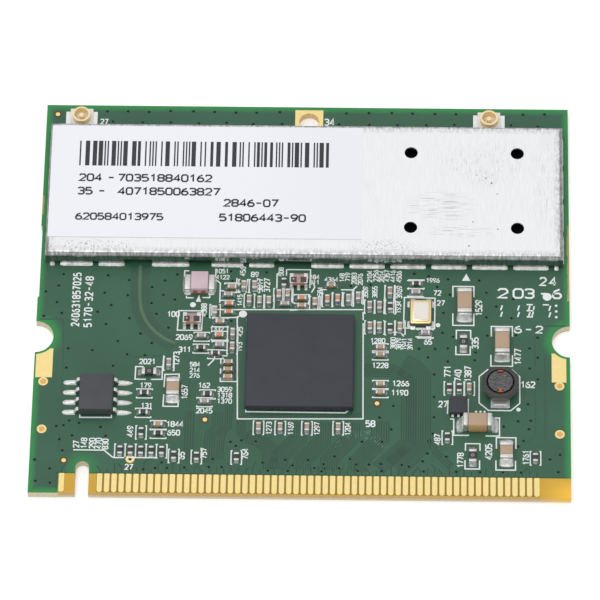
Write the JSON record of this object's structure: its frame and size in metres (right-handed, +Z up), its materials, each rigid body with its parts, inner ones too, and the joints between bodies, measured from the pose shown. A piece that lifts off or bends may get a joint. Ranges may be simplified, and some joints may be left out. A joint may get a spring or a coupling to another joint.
{
  "type": "laptop wireless network card",
  "caption": "Flat card for a laptop's expansion slot: gold edge contacts, a folded metal shield with a label, two aerial sockets, a square processor and chip parts.",
  "frame": {"origin": "centre of the bounding box at the card's underside", "axes": "+Z up out of the component side, +X along the contact edge to the right, +Y from the contact edge to the aerial sockets"},
  "size_m": [0.0596, 0.051, 0.0031],
  "materials": {
    "laminate": "glass-epoxy laminate, green solder mask both sides, bare at the contact strip",
    "gold_plate": "gold plating on copper, satin",
    "tinplate": "bright tin plate with fine brushing",
    "label_paper": "smooth white label stock",
    "mould_compound": "matt dark grey epoxy mould",
    "tinned_lead": "tin plated leads",
    "solder": "bright reflowed solder",
    "ferrite": "dark grey ferrite",
    "copper_wire": "enamelled copper wire",
    "crystal_ceramic": "dark ceramic package",
    "crystal_lid_metal": "satin metal lid",
    "white_moulding": "white moulded socket base",
    "lilac_ceramic": "lilac grey ceramic",
    "transformer_ceramic": "brown black ceramic",
    "capacitor_ceramic": "tan ceramic",
    "resistor_glaze": "black glazed resistor face",
    "coil_ceramic": "orange ceramic",
    "chip_terminal": "tin plated chip ends"
  },
  "bodies": {
    "root": {"circuit_board": "laminate", "edge_contacts_top": "gold_plate", "edge_contacts_bottom": "gold_plate", "side_ground_pads": "gold_plate", "screw_ground_pads": "gold_plate", "shield_can": "tinplate", "shield_solder": "solder", "label": "label_paper", "processor_body": "mould_compound", "processor_lands": "solder", "memory_chip_body": "mould_compound", "memory_chip_leads": "tinned_lead", "regulator_body": "mould_compound", "regulator_leads": "tinned_lead", "inductor_ring": "ferrite", "inductor_drum": "ferrite", "inductor_winding": "copper_wire", "inductor_terminals": "tinned_lead", "crystal_base": "crystal_ceramic", "crystal_rim": "gold_plate", "crystal_lid": "crystal_lid_metal", "radio_filter_body": "lilac_ceramic", "radio_filter_terminals": "chip_terminal", "transformer_bodies": "transformer_ceramic", "transformer_ends": "chip_terminal", "small_capacitor_bodies": "capacitor_ceramic", "small_capacitor_ends": "chip_terminal", "small_resistor_bodies": "resistor_glaze", "small_resistor_ends": "chip_terminal", "small_coil_bodies": "coil_ceramic", "small_coil_ends": "chip_terminal", "medium_resistor_bodies": "resistor_glaze", "medium_resistor_ends": "chip_terminal", "medium_capacitor_bodies": "capacitor_ceramic", "medium_capacitor_ends": "chip_terminal", "power_amplifiers": "mould_compound", "aerial_switches": "mould_compound", "inner_filters": "capacitor_ceramic", "inner_capacitor_bodies": "capacitor_ceramic", "inner_capacitor_ends": "chip_terminal", "solder_joints": "solder", "memory_capacitor_body": "capacitor_ceramic", "memory_capacitor_ends": "chip_terminal", "output_capacitor_body": "capacitor_ceramic", "output_capacitor_ends": "chip_terminal", "upper_tank_capacitor_body": "capacitor_ceramic", "upper_tank_capacitor_ends": "chip_terminal", "lower_tank_capacitor_body": "capacitor_ceramic", "lower_tank_capacitor_ends": "chip_terminal", "tall_tank_capacitor_body": "capacitor_ceramic", "tall_tank_capacitor_ends": "chip_terminal", "left_socket_base": "white_moulding", "left_socket_terminals": "tinned_lead", "left_socket_shell": "gold_plate", "left_socket_pin": "gold_plate", "right_socket_base": "white_moulding", "right_socket_terminals": "tinned_lead", "right_socket_shell": "gold_plate", "right_socket_pin": "gold_plate"}
  },
  "joints": []
}
